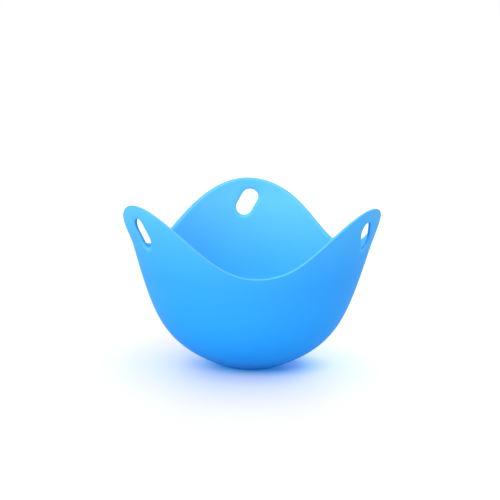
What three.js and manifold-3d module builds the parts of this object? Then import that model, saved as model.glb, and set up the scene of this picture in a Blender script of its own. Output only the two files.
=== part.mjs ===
// Egg poaching cup moulded in silicone: a round bowl on a small flat foot, whose rim rises into
// three slotted ears. The ears flex, so each one is a piece of its own on a thin band of wall.
// Millimetres, +Z up, origin at the centre of the foot's underside, front valley of the rim to -Y.

import * as THREE from 'three';
import { ParametricGeometry } from 'three/addons/geometries/ParametricGeometry.js';
import { mergeVertices } from 'three/addons/utils/BufferGeometryUtils.js';
import Module from 'manifold-3d';

const degrees = THREE.MathUtils.degToRad;

// Driving dimensions of the cup
const OVERALL_HEIGHT = 65;
const WALL = 1.6;
const FOOT_RADIUS = 10;
const HEEL_ROUNDING = 3;
const HEEL_RISE = degrees(22.6);
const SHOULDER_RADIUS = 46.8;
const SHOULDER_HEIGHT = 54;
const SHOULDER_LEAN = degrees(16.4);
const TIP_RADIUS = 49.35;
const TIP_FLARE = degrees(6);

// Pull of the curves at each end, as handle lengths along their end directions
const HEEL_PULL = 24.8;
const SHOULDER_PULL = 34.4;
const FLARE_PULL = 4;

// Wavy rim: half the height from a valley to an ear tip, and the rounding of its two edges
const RIM_WAVE = 11.1;
const RIM_ROUNDING = 0.3;

// Slanted slot through each ear
const SLOT_LENGTH = 11.7;
const SLOT_WIDTH = 7.3;
const SLOT_TILT = degrees(29);
const SLOT_BELOW_TIP = 9.7;

// Band of wall that bends at the root of each ear
const BAND_ABOVE_VALLEY = 0.6;
const BAND_HEIGHT = 4.8;

// Ears in order around the axis, the first one at the back
const EAR_NAMES = ['rear', 'left', 'right'];
const REAR = degrees(90);

// Mesh steps
const AROUND = 24 * EAR_NAMES.length;
const HEEL_STEPS = 2;
const BOWL_STEPS = 8;
const WALL_STEPS = 5;
const RIM_EDGE_STEPS = 2;
const SLOT_END_STEPS = 5;

// Spare length by which a cutting tool reaches past the wall
const TOOL_MARGIN = 5;

const SILICONE = { color: 0x2f9ff5, roughness: 0.55, metalness: 0 };

const wasm = await Module();
wasm.setup();

// Outer profile of the cup in the (radius, height) plane, from the foot's centre to an ear tip
function outerProfile() {
  const heel = new THREE.Vector2(FOOT_RADIUS, 0);
  const shoulder = new THREE.Vector2(SHOULDER_RADIUS, SHOULDER_HEIGHT);
  const tip = new THREE.Vector2(TIP_RADIUS, OVERALL_HEIGHT);
  const along = (from, direction, length) => from.clone().addScaledVector(direction, length);

  const outward = new THREE.Vector2(1, 0);
  const rise = new THREE.Vector2(Math.cos(HEEL_RISE), Math.sin(HEEL_RISE));
  const lean = new THREE.Vector2(Math.sin(SHOULDER_LEAN), Math.cos(SHOULDER_LEAN));
  const flare = new THREE.Vector2(Math.sin(TIP_FLARE), Math.cos(TIP_FLARE));
  const footEdge = along(heel, outward, -HEEL_ROUNDING);
  const bowlStart = along(heel, rise, HEEL_ROUNDING);

  const path = new THREE.CurvePath();
  path.add(new THREE.LineCurve(new THREE.Vector2(0, 0), footEdge));
  path.add(new THREE.QuadraticBezierCurve(footEdge, heel, bowlStart));
  path.add(new THREE.CubicBezierCurve(
    bowlStart, along(bowlStart, rise, HEEL_PULL), along(shoulder, lean, -SHOULDER_PULL), shoulder));
  path.add(new THREE.CubicBezierCurve(
    shoulder, along(shoulder, lean, FLARE_PULL), along(tip, flare, -FLARE_PULL), tip));
  return path;
}

const profile = outerProfile();
const [footEnd, heelEnd, , tipEnd] = profile.getCurveLengths();
const widest = Math.max(...profile.getPoints().map((point) => point.x));

// Middle of the wall at an arc length along the profile: radius, height, and the outward normal
function wallAt(arc) {
  const point = profile.getPoint(arc / tipEnd);
  const tangent = profile.getTangent(arc / tipEnd);
  const normal = new THREE.Vector2(tangent.y, -tangent.x);
  point.addScaledVector(normal, -WALL / 2);
  return { point, normal, tangent };
}

// Arc length at which the middle of the wall reaches a height
function arcAtHeight(height) {
  let low = heelEnd;
  let high = tipEnd;
  while (high - low > 1e-6) {
    const middle = (low + high) / 2;
    if (wallAt(middle).point.y < height) low = middle;
    else high = middle;
  }
  return (low + high) / 2;
}

// Height of the middle of the rim around the cup: a cosine wave with one crest for each ear
const tipHeight = OVERALL_HEIGHT - WALL / 2;
const valleyHeight = tipHeight - 2 * RIM_WAVE;

function rimHeight(azimuth) {
  return tipHeight - RIM_WAVE * (1 - Math.cos(EAR_NAMES.length * (azimuth - REAR)));
}

// A profile vector turned to an azimuth
function turned(planar, azimuth) {
  return new THREE.Vector3(planar.x * Math.cos(azimuth), planar.x * Math.sin(azimuth), planar.y);
}

function rimPoint(azimuth) {
  return turned(wallAt(arcAtHeight(rimHeight(azimuth))).point, azimuth);
}

// Closed section of the wall at one azimuth: up the outside, round the rim and down the inside
function wallSection(azimuth) {
  const rimArc = arcAtHeight(rimHeight(azimuth));
  const bowlTop = arcAtHeight(valleyHeight) * (1 - 1 / (BOWL_STEPS + 1));
  const arcs = [0, footEnd];
  for (let i = 1; i <= HEEL_STEPS; i++) arcs.push(footEnd + (heelEnd - footEnd) * i / HEEL_STEPS);
  for (let i = 1; i <= BOWL_STEPS; i++) arcs.push(heelEnd + (bowlTop - heelEnd) * i / BOWL_STEPS);
  for (let i = 1; i <= WALL_STEPS; i++) arcs.push(bowlTop + (rimArc - bowlTop) * i / WALL_STEPS);

  const side = (arc, offset) => {
    const { point, normal } = wallAt(arc);
    return turned(point.addScaledVector(normal, offset), azimuth);
  };
  const outside = arcs.map((arc) => side(arc, WALL / 2));
  const inside = arcs.map((arc) => side(arc, -WALL / 2)).reverse();

  // The rim is flat with rounded edges, in the plane square to the rim's own direction
  const step = degrees(0.01);
  const normal = turned(wallAt(rimArc).normal, azimuth);
  const direction = rimPoint(azimuth - step).sub(rimPoint(azimuth + step)).normalize();
  const crown = direction.cross(normal).normalize();
  const centre = rimPoint(azimuth);
  const flat = WALL / 2 - RIM_ROUNDING;
  const rim = [];
  for (const edge of [0, 1]) {
    for (let i = 0; i <= RIM_EDGE_STEPS; i++) {
      const angle = (edge + i / RIM_EDGE_STEPS) * Math.PI / 2;
      const across = Math.cos(angle) * RIM_ROUNDING + (edge === 0 ? flat : -flat);
      const above = Math.sin(angle) * RIM_ROUNDING + flat;
      rim.push(centre.clone().addScaledVector(normal, across).addScaledVector(crown, above));
    }
  }
  return [...outside, ...rim, ...inside];
}

// Solid from a closed geometry, with shared corners merged and collapsed triangles left out
function solidOf(geometry) {
  const bare = geometry.clone();
  bare.deleteAttribute('normal');
  bare.deleteAttribute('uv');
  const merged = mergeVertices(bare);
  const corners = merged.index.array;
  const kept = [];
  for (let i = 0; i < corners.length; i += 3) {
    const [a, b, c] = corners.slice(i, i + 3);
    if (a !== b && b !== c && c !== a) kept.push(a, b, c);
  }
  return new wasm.Manifold(new wasm.Mesh({
    numProp: 3,
    vertProperties: new Float32Array(merged.attributes.position.array),
    triVerts: new Uint32Array(kept),
  }));
}

function geometryOf(solid) {
  const { vertProperties, triVerts } = solid.getMesh();
  const geometry = new THREE.BufferGeometry();
  geometry.setAttribute('position', new THREE.BufferAttribute(vertProperties, 3));
  geometry.setIndex(new THREE.BufferAttribute(triVerts, 1));
  geometry.computeVertexNormals();
  return geometry;
}

// The whole cup wall, as one surface from the underside of the foot to the inside of the floor
function cupWall() {
  const sections = [];
  for (let i = 0; i <= AROUND; i++) sections.push(wallSection(2 * Math.PI * (i % AROUND) / AROUND));
  const last = sections[0].length - 1;
  const surface = (u, v, target) => {
    target.copy(sections[Math.round(u * AROUND)][Math.round(v * last)]);
  };
  return solidOf(new ParametricGeometry(surface, AROUND, last));
}

// Tool for the slot of the ear at an azimuth: a slot with round ends, square to the wall
function slotTool(azimuth) {
  const end = SLOT_WIDTH / 2;
  const reach = (SLOT_LENGTH - SLOT_WIDTH) / 2;
  const outline = new THREE.Shape();
  outline.absarc(0, reach, end, 0, Math.PI, false);
  outline.absarc(0, -reach, end, Math.PI, 2 * Math.PI, false);
  const depth = WALL + 2 * TOOL_MARGIN;
  const tool = new THREE.ExtrudeGeometry(outline, { depth, bevelEnabled: false, curveSegments: SLOT_END_STEPS });
  tool.translate(0, 0, -depth / 2);

  const { point, normal, tangent } = wallAt(arcAtHeight(OVERALL_HEIGHT - SLOT_BELOW_TIP));
  const out = turned(normal, azimuth);
  const up = turned(tangent, azimuth);
  const across = new THREE.Vector3().crossVectors(up, out);
  tool.rotateZ(SLOT_TILT);
  tool.applyMatrix4(new THREE.Matrix4().makeBasis(across, up, out));
  const centre = turned(point, azimuth);
  tool.translate(centre.x, centre.y, centre.z);
  return solidOf(tool);
}

// Tool that keeps a layer of the cup between two heights, behind a plane that faces the front
function layer(low, high, from) {
  const width = 2 * (widest + TOOL_MARGIN);
  const box = new THREE.BoxGeometry(width, width / 2 - from, high - low);
  box.translate(0, (width / 2 + from) / 2, (low + high) / 2);
  return solidOf(box);
}

// Heights at which the moulding is divided, and the chord between the two valleys beside the rear ear
const bandBase = valleyHeight + WALL / 2 + BAND_ABOVE_VALLEY;
const earBase = bandBase + BAND_HEIGHT;
const below = -TOOL_MARGIN;
const above = OVERALL_HEIGHT + TOOL_MARGIN;
const wholeCup = -(widest + TOOL_MARGIN);
const rearEarOnly = wallAt(arcAtHeight(bandBase)).point.x * Math.cos(Math.PI / EAR_NAMES.length);

const turn = 2 * Math.PI / EAR_NAMES.length;
let cup = cupWall();
EAR_NAMES.forEach((name, i) => {
  cup = cup.subtract(slotTool(REAR + i * turn));
});

const bowlGeometry = geometryOf(cup.intersect(layer(below, bandBase, wholeCup)));
const bandGeometry = geometryOf(cup.intersect(layer(bandBase, earBase, rearEarOnly)));
const earGeometry = geometryOf(cup.intersect(layer(earBase, above, rearEarOnly)));

function silicone(name, geometry) {
  const mesh = new THREE.Mesh(geometry, new THREE.MeshStandardMaterial(SILICONE));
  mesh.name = name;
  return mesh;
}

const eggCup = new THREE.Group();
eggCup.add(silicone('bowl', bowlGeometry));
EAR_NAMES.forEach((name, i) => {
  const place = new THREE.Group();
  place.rotation.z = i * turn;
  place.add(silicone(`${name}_flex_band`, bandGeometry));
  place.add(silicone(`${name}_ear`, earGeometry));
  eggCup.add(place);
});

export default eggCup;
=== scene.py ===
# %% [markdown]
# # A silicone egg poaching cup
# The object is one thin moulding of blue silicone: a round bowl on a small flat foot, whose rim rises
# into three ears with a slanted slot in each. This lesson lays the wall out flat as a blank, wraps the
# blank round a drawn profile with Geometry Nodes, and dresses it as matte moulded silicone.
# The imported frame is loaded first: it holds the bodies that move, and their true places in metres.
# Its box is kept.

# %% Load the frame
import math

import bmesh
import bpy
import numpy as np
from mathutils import Matrix, Vector, kdtree


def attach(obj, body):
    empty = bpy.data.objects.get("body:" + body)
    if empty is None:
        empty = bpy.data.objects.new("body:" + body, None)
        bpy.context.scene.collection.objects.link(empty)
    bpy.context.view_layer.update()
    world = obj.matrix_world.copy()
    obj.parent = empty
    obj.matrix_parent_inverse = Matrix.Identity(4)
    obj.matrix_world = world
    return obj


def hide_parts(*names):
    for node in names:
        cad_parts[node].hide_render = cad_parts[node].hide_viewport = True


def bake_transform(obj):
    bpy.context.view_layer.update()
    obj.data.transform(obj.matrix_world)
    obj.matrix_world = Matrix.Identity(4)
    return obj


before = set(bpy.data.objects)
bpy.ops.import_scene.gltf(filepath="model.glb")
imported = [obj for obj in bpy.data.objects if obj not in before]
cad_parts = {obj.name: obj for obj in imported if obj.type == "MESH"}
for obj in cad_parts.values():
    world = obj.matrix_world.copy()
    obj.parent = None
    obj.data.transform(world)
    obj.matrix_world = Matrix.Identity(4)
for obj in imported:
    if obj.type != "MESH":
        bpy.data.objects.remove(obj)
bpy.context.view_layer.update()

# %% [markdown]
# ## The profile
# A cup like this is designed as one profile turned about the axis: a flat foot, a rounded heel, a full
# bowl that stands up towards the shoulder, and a slight flare to the ear tips. A list of points could
# hold that, but every bend would need many of them. A curve with handles needs only five knots, and the
# handles point along the wall, so each bend stays smooth.

# %% Draw the profile
MM = 0.001
HEIGHT = 65 * MM
FOOT_RADIUS = 10 * MM
HEEL_ROUNDING = 3 * MM
HEEL_RISE = math.radians(22.6)
HEEL_PULL = 24.8 * MM
SHOULDER = Vector((46.8 * MM, 0, 54 * MM))
SHOULDER_LEAN = math.radians(16.4)
SHOULDER_PULL = 34.4 * MM
TIP = Vector((49.35 * MM, 0, HEIGHT))
TIP_FLARE = math.radians(6)
FLARE_PULL = 4 * MM
CURVE_STEPS = 160


def draw_profile():
    """The outer profile as a curve with handles in the XZ plane, from the foot's centre to an ear tip."""
    heel = Vector((FOOT_RADIUS, 0, 0))
    rise = Vector((math.cos(HEEL_RISE), 0, math.sin(HEEL_RISE)))
    lean = Vector((math.sin(SHOULDER_LEAN), 0, math.cos(SHOULDER_LEAN)))
    flare = Vector((math.sin(TIP_FLARE), 0, math.cos(TIP_FLARE)))
    centre = Vector((0, 0, 0))
    foot_edge = heel - Vector((HEEL_ROUNDING, 0, 0))
    bowl_start = heel + rise * HEEL_ROUNDING
    knots = [
        (centre, centre, foot_edge / 3),
        (foot_edge, foot_edge * 2 / 3, foot_edge.lerp(heel, 2 / 3)),
        (bowl_start, bowl_start.lerp(heel, 2 / 3), bowl_start + rise * HEEL_PULL),
        (SHOULDER, SHOULDER - lean * SHOULDER_PULL, SHOULDER + lean * FLARE_PULL),
        (TIP, TIP - flare * FLARE_PULL, TIP + flare * FLARE_PULL),
    ]
    curve = bpy.data.curves.new("cup_profile", "CURVE")
    curve.dimensions = "3D"
    curve.resolution_u = CURVE_STEPS
    spline = curve.splines.new("BEZIER")
    spline.bezier_points.add(len(knots) - 1)
    for knot, (place, before, after) in zip(spline.bezier_points, knots):
        knot.handle_left_type = "FREE"
        knot.handle_right_type = "FREE"
        knot.co = place
        knot.handle_left = before
        knot.handle_right = after
    drawn = bpy.data.objects.new("cup_profile", curve)
    bpy.context.scene.collection.objects.link(drawn)
    return drawn


profile = draw_profile()
print("knots in the profile:", len(profile.data.splines[0].bezier_points))

# %% [markdown]
# The wall is equally thick all along the profile. Its middle is measured once, as lists of lengths, radii
# and heights, so that a height can be turned into a length along the profile, and a length into a radius.

# %% Measure the profile
WALL = 1.6 * MM
HALF_WALL = WALL / 2


def measure_profile(drawn):
    """Lengths along the drawn profile, with the radius and height of the middle of the wall there."""
    evaluated = drawn.evaluated_get(bpy.context.evaluated_depsgraph_get())
    line = np.array([v.co for v in evaluated.to_mesh().vertices])[:, [0, 2]]
    evaluated.to_mesh_clear()
    arcs = np.concatenate([[0], np.cumsum(np.linalg.norm(np.diff(line, axis=0), axis=1))])
    tangents = np.gradient(line, arcs, axis=0)
    tangents /= np.linalg.norm(tangents, axis=1, keepdims=True)
    normals = np.stack([tangents[:, 1], -tangents[:, 0]], axis=1)
    return arcs, line - normals * HALF_WALL


def arc_at_height(height):
    """Length along the profile at which the middle of the wall reaches a height above the foot."""
    return np.interp(height, middle[rising, 1], profile_arcs[rising])


def radius_at(arc):
    """Radius of the middle of the wall at a length along the profile."""
    return np.interp(arc, profile_arcs, middle[:, 0])


def height_at(arc):
    """Height of the middle of the wall at a length along the profile."""
    return np.interp(arc, profile_arcs, middle[:, 1])


profile_arcs, middle = measure_profile(profile)
rising = profile_arcs > FOOT_RADIUS
print("profile length in mm:", round(profile_arcs[-1] / MM, 2))

# %% [markdown]
# ## The wavy rim
# Seen from the side, the rim is a cosine wave: one crest for each ear and one valley between two ears.
# A soft moulding is never quite even, so each flank of an ear may leave the wave a little: it sags towards
# the valley, it swells towards the tip, or the tip itself drops. These three lengths are kept for the two
# flanks of each ear, before and after its middle as the azimuth grows. Sculpting by hand could do the
# same, but a rule is easy to change and gives the same rim each time.

# %% Work out the rim
EARS = {"rear": 90, "left": 210, "right": 330}
SECTOR = 2 * math.pi / len(EARS)
RIM_WAVE = 11.1 * MM
TIP_CENTRE = HEIGHT - HALF_WALL
PLAIN = (0, 0, 0)
FLANKS = {
    "rear": ((-0.18 * MM, 0.9 * MM, 0.22 * MM), (-0.1 * MM, -0.4 * MM, 0.22 * MM)),
    "left": ((0, 1.1 * MM, 0), (0.2 * MM, 0.8 * MM, 0)),
    "right": ((1.0 * MM, 0.8 * MM, 0), PLAIN),
}
DROP_POWER = 3
SLOPE_STEP = 1e-4


def rim_arc(offset, flank=PLAIN):
    """Length along the profile to half a wall below the rim, at an angle from the ear's middle."""
    sag, swell, drop = flank
    phase = len(EARS) * offset
    wave = RIM_WAVE * (1 - np.cos(phase))
    bend = sag * (1 - np.cos(phase)) - swell * np.cos(phase)
    lower = drop * ((1 + np.cos(phase)) / 2) ** DROP_POWER
    return arc_at_height(TIP_CENTRE - wave - lower - bend * np.sin(phase) ** 2)


def rim_slope(offset, flank):
    """Cosine of the angle at which the rim climbs across the wall."""
    ahead = rim_arc(offset + SLOPE_STEP, flank)
    behind = rim_arc(offset - SLOPE_STEP, flank)
    climb = (ahead - behind) / (2 * SLOPE_STEP)
    return 1 / math.hypot(1, climb / radius_at(rim_arc(offset, flank)))


print("valley in mm:", round((TIP_CENTRE - 2 * RIM_WAVE) / MM, 2))

# %% [markdown]
# The two side ears also splay out on the flank towards the rear, most of all beside their slots. A
# Lattice could push the wall out, but here it is enough to add to the depth of each corner: the splay is
# full at one height, fades above and below it, and starts at an angle from the ear's middle. Its sign
# picks the flank: minus is the one before the middle.

# %% Work out the splay
SPLAY = {"rear": 0, "left": -0.8 * MM, "right": 0.24 * MM}
SPLAY_HEIGHT = 56 * MM
SPLAY_REACH = 9 * MM
SPLAY_MIDDLE = math.radians(9)
SPLAY_FADE = math.radians(9)


def splayed(splay, angle, corner):
    """A corner moved out along the wall's normal, on the flank that the splay's sign picks."""
    if corner is None:
        return None
    arc, depth = corner
    away = abs(height_at(arc) - SPLAY_HEIGHT) / SPLAY_REACH
    rise = math.cos(math.pi / 2 * min(away, 1)) ** 2
    turn = min(max((math.copysign(angle, angle * splay) - SPLAY_MIDDLE) / SPLAY_FADE, -1), 1)
    share = (1 + math.sin(math.pi / 2 * turn)) / 2
    return arc, depth + abs(splay) * rise * share


print("splay in mm:", {ear: round(abs(splay) / MM, 2) for ear, splay in SPLAY.items()})

# %% [markdown]
# ## The flat blank
# Each third of the wall is laid out flat, like a sheet of silicone before it is bent: x is the angle
# round the cup, y the length up the wall, and z the depth through the wall. The sheet has an outer and an
# inner side. Along a free edge the two sides share their corners, so the edge closes by itself, and along
# a cut a strip of faces closes the wall. Solidify could give an even thickness, but here the two sides
# differ at the rim. Each corner also carries marks that paint light and shade into the colour: the rim's
# painted highlight, the slot's painted shade and highlight, and a tone that runs up the wall as a painted
# glow, with painted light on the inner side and painted shade on the top of the rim.

# %% A flat sheet with two sides
MARKS = ("rim_highlight", "slot_shade_and_highlight", "tone")
# Painted shade: the rim's top is made deeper, so that it reads no lighter than the wall below it.
RIM_TOP_PAINTED_SHADE = 0.30
# Painted light: the inner side's tone is raised, so the inside looks paler.
INSIDE_PAINTED_LIGHT = 0.12


class Blank:
    """A flat sheet with an outer and an inner side, which share their corners on free edges."""

    def __init__(self):
        self.places = {}
        self.sheet = []
        self.ends = []

    def place(self, key, angle, outer, inner=None, line=0, slot=0):
        """The length and depth of the two sides' corners at an angle, with their marks."""
        self.places[key] = (angle, outer, inner, line, slot)

    def cell(self, *keys):
        """A face on both sides, between places."""
        self.sheet.append(keys)

    def square(self, column, row):
        """A cell between a column and a row and the next ones."""
        self.cell((column, row), (column + 1, row), (column + 1, row + 1), (column, row + 1))

    def end(self, first, second):
        """A face across the wall, along a cut from one place to the next."""
        self.ends.append((first, second))

    def mesh(self, name):
        """The two sides and the cut ends, as one mesh with its marks for the finish and the seams."""
        corners, index = [], {}
        marks = {mark: [] for mark in MARKS}
        for key, (angle, outer, inner, line, slot) in self.places.items():
            for side, corner in ((1, outer), (-1, inner)):
                if corner is None:
                    index[key, side] = index[key, 1]
                    continue
                arc, depth = corner
                index[key, side] = len(corners)
                corners.append((angle, arc, depth))
                # The tone paints light and shade: a glow up the wall, painted light inside, painted shade
                # on the rim's top.
                tone = arc / profile_arcs[-1] + INSIDE_PAINTED_LIGHT * (side == -1) - RIM_TOP_PAINTED_SHADE * line
                for mark, value in zip(MARKS, (line, slot, tone)):
                    marks[mark].append(value)
        faces = [[index[key, 1] for key in keys] for keys in self.sheet]
        faces += [[index[key, -1] for key in reversed(keys)] for keys in self.sheet]
        wall_faces = len(faces)
        seam = [False] * len(corners)
        for first, second in self.ends:
            ring = [index[first, -1], index[second, -1], index[second, 1], index[first, 1]]
            faces.append(list(dict.fromkeys(ring)))
            for corner in ring:
                seam[corner] = True
        cut = [number >= wall_faces for number in range(len(faces))]
        mesh = bpy.data.meshes.new(name)
        mesh.from_pydata(corners, [], faces)
        for mark, values in marks.items():
            mesh.attributes.new(mark, "FLOAT", "POINT").data.foreach_set("value", values)
        mesh.attributes.new("cut_end", "BOOLEAN", "FACE").data.foreach_set("value", cut)
        mesh.attributes.new("seam", "BOOLEAN", "POINT").data.foreach_set("value", seam)
        return mesh


print("marks for the finish:", MARKS)

# %% [markdown]
# ## The bowl
# The bowl is the still part of the cup: the foot and the full wall up to a cut just below the valleys.
# A third of it is enough here, because Geometry Nodes repeat it about the axis later. The rows are evenly
# spaced along the profile, so the faces keep about the same height from the foot to the cut.

# %% Lay out the bowl
CUT_HEIGHT = 36 * MM
COLUMNS = 120
BOWL_ROWS = 44


def column_angle(column):
    """Angle of a column from the middle of its third."""
    return SECTOR * (column / COLUMNS - 0.5)


def both_sides(arc, depth):
    """Corners of the outer and the inner side, equally far from the middle of the wall."""
    return (arc, depth), (arc, -depth)


def bowl_blank():
    """A third of the bowl, from the middle of the foot to the cut below the valleys."""
    blank = Blank()
    top = arc_at_height(CUT_HEIGHT)
    for column in range(COLUMNS + 1):
        for row in range(BOWL_ROWS + 1):
            arc = top * row / BOWL_ROWS
            blank.place((column, row), column_angle(column), *both_sides(arc, HALF_WALL))
    for column in range(COLUMNS):
        for row in range(BOWL_ROWS):
            blank.square(column, row)
        blank.end((column + 1, BOWL_ROWS), (column, BOWL_ROWS))
    return blank


bowl_flat = bowl_blank().mesh("bowl_flat")
print("faces in a third of the bowl:", len(bowl_flat.polygons))

# %% [markdown]
# ## The wall and rim of an ear
# Above the cut, each third is an ear with half a valley on each side; on the real cup the ear can flex.
# Its rows of faces follow the rim, whose top stays square to the wall and to the rim's own climb. The
# inner edge of the rim is well rounded and the outer edge is crisp. A Bevel modifier could round them too,
# but laid out by rule they keep the same size all the way round.

# %% Lay out the wall and rim of an ear
EAR_ROWS = 36
EDGE_STEPS = 5
RIM_ROW = EAR_ROWS + EDGE_STEPS + 1
RIM_EDGE = 0.3 * MM
RIM_ROUND = 1.2 * MM
RIM_HIGHLIGHT_POWER = 2


def lay_wall_and_rim(blank, flanks):
    """Rows of places from the cut up to the top of the rim."""
    bottom = arc_at_height(CUT_HEIGHT)
    for column in range(COLUMNS + 1):
        angle = column_angle(column)
        flank = flanks[angle > 0]
        slope = rim_slope(angle, flank)
        top = rim_arc(angle, flank) + HALF_WALL / slope
        shoulder = top - RIM_ROUND / slope
        for row in range(EAR_ROWS + 1):
            arc = bottom + (shoulder - bottom) * row / EAR_ROWS
            blank.place((column, row), angle, *both_sides(arc, HALF_WALL))
        for step in range(1, EDGE_STEPS + 1):
            turn = math.pi / 2 * (step - 1) / (EDGE_STEPS - 1)
            outer_arc = top - RIM_EDGE * (1 - math.sin(turn)) / slope
            outer_depth = HALF_WALL - RIM_EDGE * (1 - math.cos(turn))
            turn = math.pi / 2 * step / EDGE_STEPS
            inner_arc = top - RIM_ROUND * (1 - math.sin(turn)) / slope
            inner_depth = RIM_ROUND * (1 - math.cos(turn)) - HALF_WALL
            # Painted highlight: the rim's pale line grows over the inner rounding and is full on the rim's
            # top.
            line = math.sin(turn) ** RIM_HIGHLIGHT_POWER
            key = (column, EAR_ROWS + step)
            blank.place(key, angle, (outer_arc, outer_depth), (inner_arc, inner_depth), line)
        blank.place((column, RIM_ROW), angle, (top, (outer_depth + inner_depth) / 2), line=1)


print("rows in an ear:", RIM_ROW)

# %% [markdown]
# ## The slot
# A slanted slot with round ends goes through each ear, for a fingertip or a hook. A modifier could cut it
# out, but would leave thin faces and a hard edge. Here a window of cells makes way for rings of faces that
# follow the slot. The first ring lies in the middle of the wall, the next ones dish the edge softly, and
# the last ones spread out to the window's border. The rings also carry the slot's painted shade and
# highlight: below 0 on its inner wall, painted shade where it lies in shade, and above 0 on the soft lip
# below it, a painted highlight where it catches the light.

# %% Lay out the slot
SLOT_LENGTH = 11.4 * MM
SLOT_WIDTH = 6.6 * MM
SLOT_HALF_WIDTH = SLOT_WIDTH / 2
SLOT_HALF_LINE = (SLOT_LENGTH - SLOT_WIDTH) / 2
SLOT_TILT = math.radians(29.9)
SLOT_HEIGHT = HEIGHT - 9.9 * MM
SLOT_TURN = math.radians(0.3)
SLOT_EDGE = 1.9 * MM
SLOT_DISH = 0.42 * MM
SLOT_MARGIN = 3.2 * MM
# Painted shade on the slot's inner wall below 0, and a painted highlight on the lip above 0.
SLOT_SHADE_AND_HIGHLIGHT = (-1, -0.45, 0.1, 0.6, 1, 0.5)
SLOT_SPREAD_STEPS = 4
SLOT_RINGS = 1 + EDGE_STEPS + SLOT_SPREAD_STEPS
ALMOST_NONE = 1e-9

slot_arc = arc_at_height(SLOT_HEIGHT)
slot_radius = radius_at(slot_arc)


def slot_reach(across, along, grow):
    """Distance from the slot's middle to its outline, grown by a margin, in a unit direction."""
    half_width = SLOT_HALF_WIDTH + grow
    sideways = abs(across) > ALMOST_NONE
    if sideways and half_width / abs(across) * abs(along) <= SLOT_HALF_LINE:
        return half_width / abs(across)
    rise = abs(along)
    return rise * SLOT_HALF_LINE + math.sqrt(half_width ** 2 - SLOT_HALF_LINE ** 2 * (1 - rise ** 2))


def slot_facing(point):
    """How far the slot's edge faces up, from 0 at its sides to 1 straight below it."""
    axis = Vector((-math.sin(SLOT_TILT), math.cos(SLOT_TILT)))
    nearest = axis * min(max(point.dot(axis), -SLOT_HALF_LINE), SLOT_HALF_LINE)
    return max(0, -(point - nearest).normalized().y) ** 2


def slot_window():
    """The first and last columns, and the first and last rows, of the window round the slot."""
    bottom = arc_at_height(CUT_HEIGHT)
    row_step = (rim_arc(0) - bottom) / EAR_ROWS
    column_step = slot_radius * SECTOR / COLUMNS
    tall = SLOT_HALF_LINE * math.cos(SLOT_TILT) + SLOT_HALF_WIDTH + SLOT_MARGIN
    wide = SLOT_HALF_LINE * math.sin(SLOT_TILT) + SLOT_HALF_WIDTH + SLOT_MARGIN
    low = int((slot_arc - tall - bottom) / row_step)
    high = min(math.ceil((slot_arc + tall - bottom) / row_step), EAR_ROWS - 1)
    left = COLUMNS // 2 - math.ceil(wide / column_step)
    return left, COLUMNS - left, low, high


def lay_slot(blank, border):
    """Rings of places and cells, from the slot's edge out to a border of the wall's own places."""
    for number, key in enumerate(border):
        angle, (arc, _) = blank.places[key][:2]
        reach = Vector(((angle - SLOT_TURN) * slot_radius, arc - slot_arc))
        out = reach.normalized()
        across = out.x * math.cos(SLOT_TILT) + out.y * math.sin(SLOT_TILT)
        along = out.y * math.cos(SLOT_TILT) - out.x * math.sin(SLOT_TILT)
        for ring in range(SLOT_RINGS):
            turn = math.pi / 2 * min(max(ring - 1, 0), EDGE_STEPS) / EDGE_STEPS
            length = slot_reach(across, along, SLOT_EDGE * (1 - math.cos(turn)))
            share = max(0, ring - 1 - EDGE_STEPS) / SLOT_SPREAD_STEPS
            point = out * (length + (reach.length - length) * share)
            depth = HALF_WALL - SLOT_DISH * (1 - math.sin(turn))
            corners = both_sides(slot_arc + point.y, depth) if ring else ((slot_arc + point.y, 0),)
            tone = SLOT_SHADE_AND_HIGHLIGHT[ring] if ring < len(SLOT_SHADE_AND_HIGHLIGHT) else 0
            # The lip's painted highlight is strongest straight below the slot, where it faces up to the
            # light.
            if tone > 0:
                tone *= slot_facing(point)
            place = ("slot", number, ring)
            blank.place(place, SLOT_TURN + point.x / slot_radius, *corners, slot=tone)
    rings = [[("slot", n, ring) for n in range(len(border))] for ring in range(SLOT_RINGS)]
    rings.append(border)
    for inner, outer in zip(rings, rings[1:]):
        for n in range(len(border)):
            after = (n + 1) % len(border)
            blank.cell(inner[n], outer[n], outer[after], inner[after])


print("columns and rows of the window round the slot:", slot_window())

# %% [markdown]
# An ear is put together from the wall, the rim and the slot. Its lower edge and its two sides are cuts,
# where it meets the bowl and the next ears. The three ears share this layout and differ only in their
# flanks and their splay.

# %% Put the ears together
def ear_blank(flanks, splay):
    """A third of the wall above the cut: an ear with its slot, and half a valley on each side."""
    blank = Blank()
    lay_wall_and_rim(blank, flanks)
    left, right, low, high = slot_window()
    window = {(column, row) for column in range(left, right) for row in range(low, high)}
    for column in range(COLUMNS):
        for row in range(RIM_ROW):
            if (column, row) not in window:
                blank.square(column, row)
    for column in range(left + 1, right):
        for row in range(low + 1, high):
            del blank.places[column, row]
    border = [(column, low) for column in range(left, right)]
    border += [(right, row) for row in range(low, high)]
    border += [(column, high) for column in range(right, left, -1)]
    border += [(left, row) for row in range(high, low, -1)]
    lay_slot(blank, border)
    for key, (angle, outer, inner, line, slot) in blank.places.items():
        outer = splayed(splay, angle, outer)
        inner = splayed(splay, angle, inner)
        blank.places[key] = (angle, outer, inner, line, slot)
    for column in range(COLUMNS):
        blank.end((column, 0), (column + 1, 0))
    for row in range(RIM_ROW):
        blank.end((COLUMNS, row), (COLUMNS, row + 1))
        blank.end((0, row + 1), (0, row))
    return blank


ear_flats = {ear: ear_blank(FLANKS[ear], SPLAY[ear]).mesh(ear + "_flat") for ear in EARS}
print("faces in an ear:", len(ear_flats["rear"].polygons))

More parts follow.
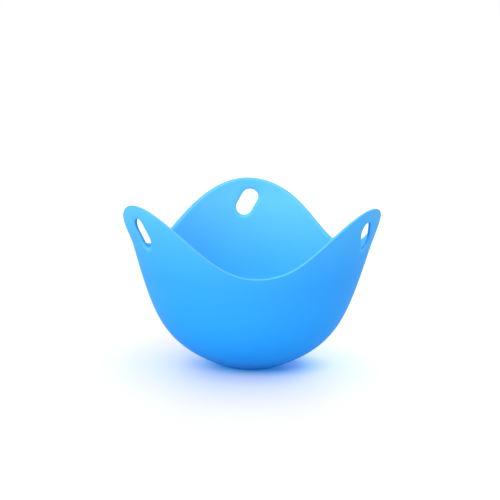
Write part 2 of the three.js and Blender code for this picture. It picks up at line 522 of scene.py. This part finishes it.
# %% [markdown]
# ## Wrapping the blank
# The rule is the same everywhere: look up the place on the profile at the length y, step in from the
# outer face by the depth z, and turn it about the axis by the angle x. A Screw modifier could turn the
# profile into a plain bowl, but the wavy rim and the slots would still have to be cut out of it. A field
# does the rule for every corner at once, so Geometry Nodes suit it well. The same tree repeats the bowl's
# third about the axis and closes the seams.

# %% Helpers for node trees
def add_node(tree, kind, **settings):
    """A new node with its settings."""
    node = tree.nodes.new(kind)
    for name, value in settings.items():
        setattr(node, name, value)
    return node


def math_node(tree, operation, first, second):
    """The output of a Math node whose inputs are links or numbers."""
    node = add_node(tree, "ShaderNodeMath", operation=operation)
    for socket, value in zip(node.inputs, (first, second)):
        if isinstance(value, (int, float)):
            socket.default_value = value
        else:
            tree.links.new(value, socket)
    return node.outputs[0]


print("helpers:", add_node.__name__, math_node.__name__)

# %% Build the wrapping tree
WRAP_INPUTS = (
    ("Blank", "NodeSocketGeometry"),
    ("Profile", "NodeSocketObject"),
    ("Wall", "NodeSocketFloat"),
    ("First azimuth", "NodeSocketFloat"),
    ("Copies", "NodeSocketInt"),
    ("Copy turn", "NodeSocketFloat"),
    ("Merge distance", "NodeSocketFloat"),
    ("Finish", "NodeSocketMaterial"),
)


def wrapped_place(tree, given):
    """The place round the cup of each corner of the blank: its angle, its length and its depth."""
    link = tree.links.new
    flat = add_node(tree, "ShaderNodeSeparateXYZ")
    link(add_node(tree, "GeometryNodeInputPosition").outputs["Position"], flat.inputs[0])
    drawn = add_node(tree, "GeometryNodeObjectInfo", transform_space="ORIGINAL")
    link(given["Profile"], drawn.inputs["Object"])
    sample = add_node(tree, "GeometryNodeSampleCurve", mode="LENGTH")
    link(drawn.outputs["Geometry"], sample.inputs["Curves"])
    link(flat.outputs["Y"], sample.inputs["Length"])

    # Step in from the outer face along the wall's normal
    tangent = add_node(tree, "ShaderNodeSeparateXYZ")
    link(sample.outputs["Tangent"], tangent.inputs[0])
    normal = add_node(tree, "ShaderNodeCombineXYZ")
    link(tangent.outputs["Z"], normal.inputs["X"])
    link(math_node(tree, "MULTIPLY", tangent.outputs["X"], -1), normal.inputs["Z"])
    half_wall = math_node(tree, "MULTIPLY", given["Wall"], 0.5)
    inset = add_node(tree, "ShaderNodeVectorMath", operation="SCALE")
    link(normal.outputs[0], inset.inputs[0])
    link(math_node(tree, "SUBTRACT", flat.outputs["Z"], half_wall), inset.inputs["Scale"])
    planar = add_node(tree, "ShaderNodeVectorMath", operation="ADD")
    link(sample.outputs["Position"], planar.inputs[0])
    link(inset.outputs[0], planar.inputs[1])

    # Turn about the axis
    turn = add_node(tree, "ShaderNodeVectorRotate", rotation_type="Z_AXIS")
    link(planar.outputs[0], turn.inputs["Vector"])
    link(math_node(tree, "ADD", flat.outputs["X"], given["First azimuth"]), turn.inputs["Angle"])
    return turn.outputs["Vector"]


def repeated(tree, given, third):
    """Copies of a third of the wall about the axis, joined at their seams."""
    link = tree.links.new
    spots = add_node(tree, "GeometryNodePoints")
    link(given["Copies"], spots.inputs["Count"])
    spin = add_node(tree, "ShaderNodeCombineXYZ")
    number = add_node(tree, "GeometryNodeInputIndex").outputs[0]
    link(math_node(tree, "MULTIPLY", number, given["Copy turn"]), spin.inputs["Z"])
    spun = add_node(tree, "FunctionNodeEulerToRotation")
    link(spin.outputs[0], spun.inputs[0])
    copies = add_node(tree, "GeometryNodeInstanceOnPoints")
    link(spots.outputs[0], copies.inputs["Points"])
    link(third, copies.inputs["Instance"])
    link(spun.outputs[0], copies.inputs["Rotation"])
    real = add_node(tree, "GeometryNodeRealizeInstances")
    link(copies.outputs["Instances"], real.inputs[0])
    joined = add_node(tree, "GeometryNodeMergeByDistance")
    link(real.outputs[0], joined.inputs["Geometry"])
    link(given["Merge distance"], joined.inputs["Distance"])
    return joined.outputs[0]


def wrapping_tree():
    """Geometry Nodes that wrap a flat blank round the profile and repeat it about the axis."""
    tree = bpy.data.node_groups.new("Wrap blank round profile", "GeometryNodeTree")
    for name, kind in WRAP_INPUTS:
        tree.interface.new_socket(name, in_out="INPUT", socket_type=kind)
    tree.interface.new_socket("Wall piece", in_out="OUTPUT", socket_type="NodeSocketGeometry")
    link = tree.links.new
    given = add_node(tree, "NodeGroupInput").outputs
    result = add_node(tree, "NodeGroupOutput")
    wrapped = add_node(tree, "GeometryNodeSetPosition")
    link(given["Blank"], wrapped.inputs["Geometry"])
    link(wrapped_place(tree, given), wrapped.inputs["Position"])
    smooth = add_node(tree, "GeometryNodeSetShadeSmooth")
    link(repeated(tree, given, wrapped.outputs["Geometry"]), smooth.inputs["Geometry"])
    finish = add_node(tree, "GeometryNodeSetMaterial")
    link(smooth.outputs[0], finish.inputs["Geometry"])
    link(given["Finish"], finish.inputs["Material"])
    link(finish.outputs[0], result.inputs[0])
    return tree


wrap_tree = wrapping_tree()
print("wrapping tree has", len(wrap_tree.nodes), "nodes")

# %% [markdown]
# ## Matte moulded silicone
# Silicone has a deep even colour with a soft, slightly powdery surface: no mirror gloss, a faint pale
# sheen where the surface turns away, and a very fine grain from the blasted mould. It lets a little light
# through, and that light is painted into the colour: the ears and the inside are painted paler than the
# foot as a painted glow, and the foot's blue is a little brighter as painted light from the floor. The rim
# shows a painted highlight, a thin pale line, with painted shade on its top. The slot's inner wall has
# painted shade and the lip below it a painted highlight. Subsurface scattering could give that glow, but
# it would show the cut between the bowl and the ears, so the marks on the corners carry it as colour
# instead.

# %% Colour the silicone
# The foot's blue holds painted light thrown up from the floor, and the ears' paler blue a painted glow.
FOOT_BLUE_WITH_PAINTED_BOUNCE = (0.010, 0.440, 1.000, 1)
BODY_BLUE = (0.056, 0.432, 0.985, 1)
EAR_BLUE_WITH_PAINTED_GLOW = (0.135, 0.560, 1.000, 1)
BODY_SHARE = 0.70
CLOUD_DEPTH = 0.10
# A painted highlight: a thin pale line along the rim.
RIM_HIGHLIGHT_BLUE = (0.400, 0.620, 1.000, 1)
RIM_HIGHLIGHT_SHARE = 0.2
# Painted shade on the slot's inner wall, and a painted highlight on the lip below it.
SLOT_WALL_SHADE_BLUE = (0.015, 0.150, 0.480, 1)
SLOT_WALL_SHADE_SHARE = 0.8
SLOT_LIP_HIGHLIGHT_BLUE = (0.150, 0.720, 1.000, 1)
SLOT_LIP_HIGHLIGHT_SHARE = 0.6


def mark_on(tree, name):
    """The value of a mark that the corners of the wall carry."""
    return add_node(tree, "ShaderNodeAttribute", attribute_name=name).outputs["Fac"]


def mixed(tree, share, base, colour):
    """A base colour with a share of another colour mixed in."""
    mix = add_node(tree, "ShaderNodeMix", data_type="RGBA")
    tree.links.new(share, mix.inputs["Factor"])
    tree.links.new(base, mix.inputs["A"])
    mix.inputs["B"].default_value = colour
    return mix.outputs["Result"]


def silicone_colour(tree, cloud):
    """Blue with a painted glow up to the ears, clouding, and painted highlights and shade at rim and
    slots.
    """
    # The ramp paints a glow that grows up the wall towards the ears.
    ramp = add_node(tree, "ShaderNodeValToRGB")
    ramp.color_ramp.elements[0].color = FOOT_BLUE_WITH_PAINTED_BOUNCE
    ramp.color_ramp.elements[1].color = EAR_BLUE_WITH_PAINTED_GLOW
    ramp.color_ramp.elements.new(BODY_SHARE).color = BODY_BLUE
    drift = math_node(tree, "MULTIPLY", math_node(tree, "SUBTRACT", cloud, 0.5), CLOUD_DEPTH)
    tree.links.new(math_node(tree, "ADD", mark_on(tree, "tone"), drift), ramp.inputs[0])
    # Painted highlight along the rim.
    line = math_node(tree, "MULTIPLY", mark_on(tree, "rim_highlight"), RIM_HIGHLIGHT_SHARE)
    colour = mixed(tree, line, ramp.outputs[0], RIM_HIGHLIGHT_BLUE)
    # Painted highlight on the slot's lip, and painted shade on its inner wall.
    slot = mark_on(tree, "slot_shade_and_highlight")
    lip = math_node(tree, "MULTIPLY", math_node(tree, "MAXIMUM", slot, 0), SLOT_LIP_HIGHLIGHT_SHARE)
    colour = mixed(tree, lip, colour, SLOT_LIP_HIGHLIGHT_BLUE)
    depth = math_node(tree, "MAXIMUM", math_node(tree, "MULTIPLY", slot, -SLOT_WALL_SHADE_SHARE), 0)
    return mixed(tree, depth, colour, SLOT_WALL_SHADE_BLUE)


print("blues from the foot to the ears:", FOOT_BLUE_WITH_PAINTED_BOUNCE[:3], BODY_BLUE[:3], EAR_BLUE_WITH_PAINTED_GLOW[:3])

# %% Make the silicone
SILICONE_IOR = 1.41
SPECULAR_LEVEL = 0.15
SHEEN_WEIGHT = 0.02
SHEEN_ROUGHNESS = 0.45
SHEEN_TINT = (0.75, 0.82, 1, 1)
SMOOTHEST = 0.46
ROUGHEST = 0.58
CLOUD_SCALE = 38
CLOUD_DETAIL = 3
GRAIN_SCALE = 2600
GRAIN_DETAIL = 2
GRAIN_STRENGTH = 0.35
GRAIN_HEIGHT = 0.03 * MM


def noise(tree, scale, detail):
    """A noise on Object coordinates."""
    texture = add_node(tree, "ShaderNodeTexNoise")
    texture.inputs["Scale"].default_value = scale
    texture.inputs["Detail"].default_value = detail
    where = add_node(tree, "ShaderNodeTexCoord").outputs["Object"]
    tree.links.new(where, texture.inputs["Vector"])
    return texture.outputs[0]


def silicone():
    """Matte blue silicone with faint clouding in its colour and gloss, and a fine moulded grain."""
    material = bpy.data.materials.new("matte_blue_silicone")
    material.use_nodes = True
    tree = material.node_tree
    link = tree.links.new
    shader = tree.nodes["Principled BSDF"]
    shader.inputs["IOR"].default_value = SILICONE_IOR
    shader.inputs["Specular IOR Level"].default_value = SPECULAR_LEVEL
    shader.inputs["Sheen Weight"].default_value = SHEEN_WEIGHT
    shader.inputs["Sheen Roughness"].default_value = SHEEN_ROUGHNESS
    shader.inputs["Sheen Tint"].default_value = SHEEN_TINT
    cloud = noise(tree, CLOUD_SCALE, CLOUD_DETAIL)
    link(silicone_colour(tree, cloud), shader.inputs["Base Color"])

    matte = add_node(tree, "ShaderNodeMapRange")
    matte.inputs["To Min"].default_value = SMOOTHEST
    matte.inputs["To Max"].default_value = ROUGHEST
    link(cloud, matte.inputs["Value"])
    link(matte.outputs[0], shader.inputs["Roughness"])

    bump = add_node(tree, "ShaderNodeBump")
    bump.inputs["Strength"].default_value = GRAIN_STRENGTH
    bump.inputs["Distance"].default_value = GRAIN_HEIGHT
    link(noise(tree, GRAIN_SCALE, GRAIN_DETAIL), bump.inputs["Height"])
    link(bump.outputs[0], shader.inputs["Normal"])
    return material


blue_silicone = silicone()
print("finish:", blue_silicone.name)

# %% [markdown]
# ## The pieces
# One piece is made for each body: the bowl, and an ear for each place round the rim. Each blank gets the
# tree as a modifier, whose inputs are set by their identifiers. The evaluated result becomes a plain mesh,
# because a finished piece should need no modifier, and the flat helpers are deleted.

# %% Wrap each blank
MERGE_DISTANCE = 0.5e-6


def wrap(name, flat, copies, azimuth):
    """A finished piece from a flat blank, repeated about the axis from an azimuth."""
    sheet = bpy.data.objects.new(name + "_blank", flat)
    bpy.context.scene.collection.objects.link(sheet)
    modifier = sheet.modifiers.new("wrap", "NODES")
    modifier.node_group = wrap_tree
    values = {
        "Profile": profile,
        "Wall": WALL,
        "First azimuth": azimuth,
        "Copies": copies,
        "Copy turn": SECTOR,
        "Merge distance": MERGE_DISTANCE,
        "Finish": blue_silicone,
    }
    for item in wrap_tree.interface.items_tree:
        if item.in_out == "INPUT" and item.name in values:
            modifier[item.identifier] = values[item.name]
    graph = bpy.context.evaluated_depsgraph_get()
    wrapped = sheet.evaluated_get(graph)
    mesh = bpy.data.meshes.new_from_object(wrapped, preserve_all_data_layers=True, depsgraph=graph)
    bpy.data.objects.remove(sheet)
    mesh.name = name
    piece = bpy.data.objects.new(name, mesh)
    bpy.context.scene.collection.objects.link(piece)
    print(name, "has", len(mesh.polygons), "faces")
    return piece


bowl = wrap("bowl_wall", bowl_flat, len(EARS), math.radians(EARS["rear"]))
ears = {}
for ear, azimuth in EARS.items():
    ears[ear] = wrap(ear + "_ear_wall", ear_flats[ear], 1, math.radians(azimuth))
bpy.data.objects.remove(profile)
for flat in [bowl_flat, *ear_flats.values()]:
    bpy.data.meshes.remove(flat)

# %% [markdown]
# The cut between the bowl and the ears isn't on the real cup, so it shouldn't show. Each piece would
# shade its own edge by itself, which leaves a faint line. A Data Transfer modifier could copy normals from
# a whole cup, but it is simpler to add up the normals of all faces that meet at a seam, and to give every
# piece the same sum there.

# %% Share the normals at the cuts
SAME_PLACE = 2e-6
TINY = 1e-30


def read(collection, name, width, kind=float):
    """An array of one property of a mesh's elements."""
    values = np.zeros(len(collection) * width, kind)
    collection.foreach_get(name, values)
    return values.reshape(-1, width) if width > 1 else values


def wall_normals(mesh):
    """Sum of the wall's face normals at each corner, weighted by area, without the cut ends."""
    corners = read(mesh.loops, "vertex_index", 1, int)
    counts = read(mesh.polygons, "loop_total", 1, int)
    face_of = np.repeat(np.arange(len(counts)), counts)
    cut = read(mesh.attributes["cut_end"].data, "value", 1, bool)
    weights = read(mesh.polygons, "area", 1) * ~cut
    facing = read(mesh.polygons, "normal", 3)
    sums = np.zeros((len(mesh.vertices), 3))
    np.add.at(sums, corners, (facing * weights[:, None])[face_of])
    return sums, corners, face_of, cut, facing


def share_normals(pieces):
    """Smooth normals that run across the cuts between pieces, and flat ones on the cut ends."""
    measured = [wall_normals(piece.data) for piece in pieces]
    seams = []
    for number, piece in enumerate(pieces):
        marked = np.flatnonzero(read(piece.data.attributes["seam"].data, "value", 1, bool))
        seams += [(number, index, piece.data.vertices[index].co.copy()) for index in marked]
    tree = kdtree.KDTree(len(seams))
    for i, (_, _, place) in enumerate(seams):
        tree.insert(place, i)
    tree.balance()
    shared = []
    for _, _, place in seams:
        near = [seams[i] for _, i, _ in tree.find_range(place, SAME_PLACE)]
        shared.append(sum(measured[number][0][index] for number, index, _ in near))
    for (number, index, _), total in zip(seams, shared):
        measured[number][0][index] = total
    for piece, (sums, corners, face_of, cut, facing) in zip(pieces, measured):
        lengths = np.linalg.norm(sums, axis=1, keepdims=True)
        smooth = sums / np.maximum(lengths, TINY)
        normals = np.where(cut[face_of][:, None], facing[face_of], smooth[corners])
        piece.data.normals_split_custom_set(normals.tolist())
    return len(seams)


print("seam corners shared:", share_normals([bowl, *ears.values()]))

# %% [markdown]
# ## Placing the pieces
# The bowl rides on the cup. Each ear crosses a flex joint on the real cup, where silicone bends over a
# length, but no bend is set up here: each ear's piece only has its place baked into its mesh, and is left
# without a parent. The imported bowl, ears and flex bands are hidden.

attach(bowl, "cup")
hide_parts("bowl")
for ear, piece in ears.items():
    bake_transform(piece)
    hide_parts(ear + "_ear", ear + "_flex_band")

# %% [markdown]
# ## The floor
# The cup stands on a plain white board with a soft gloss. Under light at a plain level a white board looks
# pale grey. More lamps would make it white, but they would bleach the cup. So the board gives off a faint
# glow that only the camera, reflections and views through glass can see: it lifts the board to white away
# from the cup, and fades in an oval towards the foot, where the real shadow stays. Near the foot the glow
# is blue: a painted blue glow in the shadow, which stands in for blue light thrown down by the cup. To
# other light the board is bluish, so that what it throws back on the cup keeps the silicone's blue clear.

# %% Finish the floor
BOARD_WHITE = (0.90, 0.90, 0.92, 1)
BOUNCE_WHITE = (0.48, 0.84, 1.00, 1)
BOARD_ROUGHNESS = 0.45
BOARD_IOR = 1.35
LIFT_CENTRE = Vector((3.6 * MM, -0.6 * MM, 0))
LIFT_OVAL = Vector((1, 1.58, 1))
# Near the foot the stops paint a blue glow into the shadow; further out they lift the board to white.
LIFT_AND_SHADOW_GLOW_STOPS = (
    (15.2 * MM, (0.000, 0.110, 0.415, 1)),
    (19.1 * MM, (0.067, 0.245, 0.477, 1)),
    (29.6 * MM, (0.332, 0.380, 0.520, 1)),
    (63.8 * MM, (0.338, 0.268, 0.300, 1)),
    (133 * MM, (0.220, 0.130, 0.100, 1)),
    (900 * MM, (0.600, 0.600, 0.600, 1)),
)


def seen_directly(tree, path):
    """1 for the camera and for reflections and views through glass, and 0 for light on its way."""
    direct = math_node(tree, "MAXIMUM", path.outputs["Is Camera Ray"], path.outputs["Is Glossy Ray"])
    return math_node(tree, "MAXIMUM", direct, path.outputs["Is Transmission Ray"])


def lift_colour(tree):
    """The glow's colour by the distance from the foot in an oval: a painted blue glow in the shadow, then
    white.
    """
    oval = add_node(tree, "ShaderNodeMapping")
    oval.inputs["Location"].default_value = -LIFT_CENTRE * LIFT_OVAL
    oval.inputs["Scale"].default_value = LIFT_OVAL
    where = add_node(tree, "ShaderNodeTexCoord").outputs["Object"]
    tree.links.new(where, oval.inputs["Vector"])
    away = add_node(tree, "ShaderNodeVectorMath", operation="LENGTH")
    tree.links.new(oval.outputs[0], away.inputs[0])
    reach = LIFT_AND_SHADOW_GLOW_STOPS[-1][0]
    ramp = add_node(tree, "ShaderNodeValToRGB")
    stops = ramp.color_ramp.elements
    stops.remove(stops[-1])
    stops[0].position = LIFT_AND_SHADOW_GLOW_STOPS[0][0] / reach
    stops[0].color = LIFT_AND_SHADOW_GLOW_STOPS[0][1]
    for distance, colour in LIFT_AND_SHADOW_GLOW_STOPS[1:]:
        stops.new(distance / reach).color = colour
    tree.links.new(math_node(tree, "DIVIDE", away.outputs["Value"], reach), ramp.inputs[0])
    return ramp.outputs["Color"]


def floor_finish():
    """White board with a soft gloss, lifted to white away from the cup, with a painted blue glow in its
    shadow. White board with a soft gloss, lifted to white for the camera away from the cup's shadow.
    """
    material = bpy.data.materials.new("white_board")
    material.use_nodes = True
    tree = material.node_tree
    link = tree.links.new
    shader = tree.nodes["Principled BSDF"]
    shader.inputs["Roughness"].default_value = BOARD_ROUGHNESS
    shader.inputs["IOR"].default_value = BOARD_IOR
    path = add_node(tree, "ShaderNodeLightPath")
    board = add_node(tree, "ShaderNodeMix", data_type="RGBA")
    board.inputs["A"].default_value = BOUNCE_WHITE
    board.inputs["B"].default_value = BOARD_WHITE
    link(path.outputs["Is Camera Ray"], board.inputs["Factor"])
    link(board.outputs["Result"], shader.inputs["Base Color"])
    lift = add_node(tree, "ShaderNodeEmission")
    link(lift_colour(tree), lift.inputs["Color"])
    link(seen_directly(tree, path), lift.inputs["Strength"])
    both = add_node(tree, "ShaderNodeAddShader")
    link(shader.outputs[0], both.inputs[0])
    link(lift.outputs[0], both.inputs[1])
    link(both.outputs[0], tree.nodes["Material Output"].inputs["Surface"])
    return material


white_board = floor_finish()
print("floor finish:", white_board.name)

# %% Lay the floor
FLOOR_RADIUS = 3
FLOOR_SIDES = 96


def make_floor():
    """A wide round board under the cup, marked as stage."""
    mesh = bpy.data.meshes.new("floor")
    build = bmesh.new()
    bmesh.ops.create_circle(build, cap_ends=True, radius=FLOOR_RADIUS, segments=FLOOR_SIDES)
    build.to_mesh(mesh)
    build.free()
    mesh.materials.append(white_board)
    floor = bpy.data.objects.new("floor", mesh)
    bpy.context.scene.collection.objects.link(floor)
    return floor


floor = make_floor()
print("floor:", floor.name)

# %% [markdown]
# ## Light
# The light is that of a soft white studio: even surroundings, a large lamp on the upper left that leads,
# and one from above that opens the inside of the cup. Light linking lets these two light the cup only, and
# a third lamp the board only. One set of lamps could do both, but then a level that suits the silicone
# would set the floor's shadow too. All levels are plain, so that a colour renders about as it is written.

# %% Light the studio
WORLD_LIGHT = 0.45
WORLD_TINT = (0.85, 0.92, 1.0, 1)
WORLD_SEEN = (1, 1, 1, 1)
LAMP_TINT = (0.90, 0.95, 1.0)
LAMP_SIZE = 1.6
LAMP_TARGET = Vector((0, 0, 30 * MM))
KEY_PLACE = Vector((-0.60, -0.68, 0.66))
KEY_POWER = 9.2
TOP_PLACE = Vector((-0.10, -0.44, 1.03))
TOP_POWER = 12.2
BOARD_PLACE = Vector((0.10, 0.00, 1.05))
BOARD_POWER = 12.2


def studio_world():
    """Even white surroundings: plain white to look at and in reflections, and softer as light."""
    world = bpy.data.worlds.new("white_studio")
    bpy.context.scene.world = world
    world.use_nodes = True
    tree = world.node_tree
    light = tree.nodes["Background"]
    light.inputs["Color"].default_value = WORLD_TINT
    light.inputs["Strength"].default_value = WORLD_LIGHT
    seen = add_node(tree, "ShaderNodeBackground")
    seen.inputs["Color"].default_value = WORLD_SEEN
    path = add_node(tree, "ShaderNodeLightPath")
    choose = add_node(tree, "ShaderNodeMixShader")
    tree.links.new(seen_directly(tree, path), choose.inputs[0])
    tree.links.new(light.outputs[0], choose.inputs[1])
    tree.links.new(seen.outputs[0], choose.inputs[2])
    tree.links.new(choose.outputs[0], tree.nodes["World Output"].inputs["Surface"])


def lit_group(name, pieces):
    """A collection of the pieces that a lamp lights."""
    group = bpy.data.collections.new(name)
    for piece in pieces:
        group.objects.link(piece)
    return group


def soft_lamp(name, place, power, group):
    """A large square lamp that faces the cup and lights one group of pieces."""
    light = bpy.data.lights.new(name, "AREA")
    light.size = LAMP_SIZE
    light.energy = power
    light.color = LAMP_TINT
    lamp = bpy.data.objects.new(name, light)
    lamp.location = place
    lamp.rotation_euler = (LAMP_TARGET - place).to_track_quat("-Z", "Y").to_euler()
    bpy.context.scene.collection.objects.link(lamp)
    lamp.light_linking.receiver_collection = group


studio_world()
cup_only = lit_group("cup_only", [bowl, *ears.values()])
board_only = lit_group("board_only", [floor])
soft_lamp("key", KEY_PLACE, KEY_POWER, cup_only)
soft_lamp("top", TOP_PLACE, TOP_POWER, cup_only)
soft_lamp("board", BOARD_PLACE, BOARD_POWER, board_only)

# %% [markdown]
# ## Camera
# The camera stands in front of the cup and a little above it, with a long lens, as in the photograph. A
# Track To constraint could aim it, but the view is also rolled by about a degree, so its three axes are
# worked out from the pitch and the roll and then turned about the cup.

# %% Set the camera
CAMERA_DISTANCE = 560 * MM
CAMERA_HEIGHT = 158.95 * MM
CAMERA_SIDE = -0.49 * MM
CAMERA_PITCH = math.radians(11.556)
CAMERA_AZIMUTH = math.radians(-2.332)
CAMERA_ROLL = math.radians(1.141)
CLIP_START = 10 * MM
LENS = 108.64
SENSOR = 36.0


def make_camera():
    """A camera at the photograph's viewing angle."""
    data = bpy.data.cameras.new("camera")
    data.lens = LENS
    data.sensor_width = SENSOR
    data.clip_start = CLIP_START
    camera = bpy.data.objects.new("camera", data)
    right = Vector((1, 0, 0))
    up = Vector((0, math.sin(CAMERA_PITCH), math.cos(CAMERA_PITCH)))
    back = right.cross(up)
    rolled_right = right * math.cos(CAMERA_ROLL) + up * math.sin(CAMERA_ROLL)
    rolled_up = up * math.cos(CAMERA_ROLL) - right * math.sin(CAMERA_ROLL)
    place = Matrix((rolled_right, rolled_up, back)).transposed().to_4x4()
    place.translation = (CAMERA_SIDE, -CAMERA_DISTANCE, CAMERA_HEIGHT)
    camera.matrix_world = Matrix.Rotation(CAMERA_AZIMUTH, 4, "Z") @ place
    bpy.context.scene.collection.objects.link(camera)
    bpy.context.scene.camera = camera
    return camera


camera = make_camera()
bpy.context.scene.view_settings.view_transform = "Standard"
print("camera at", [round(value, 4) for value in camera.matrix_world.translation])
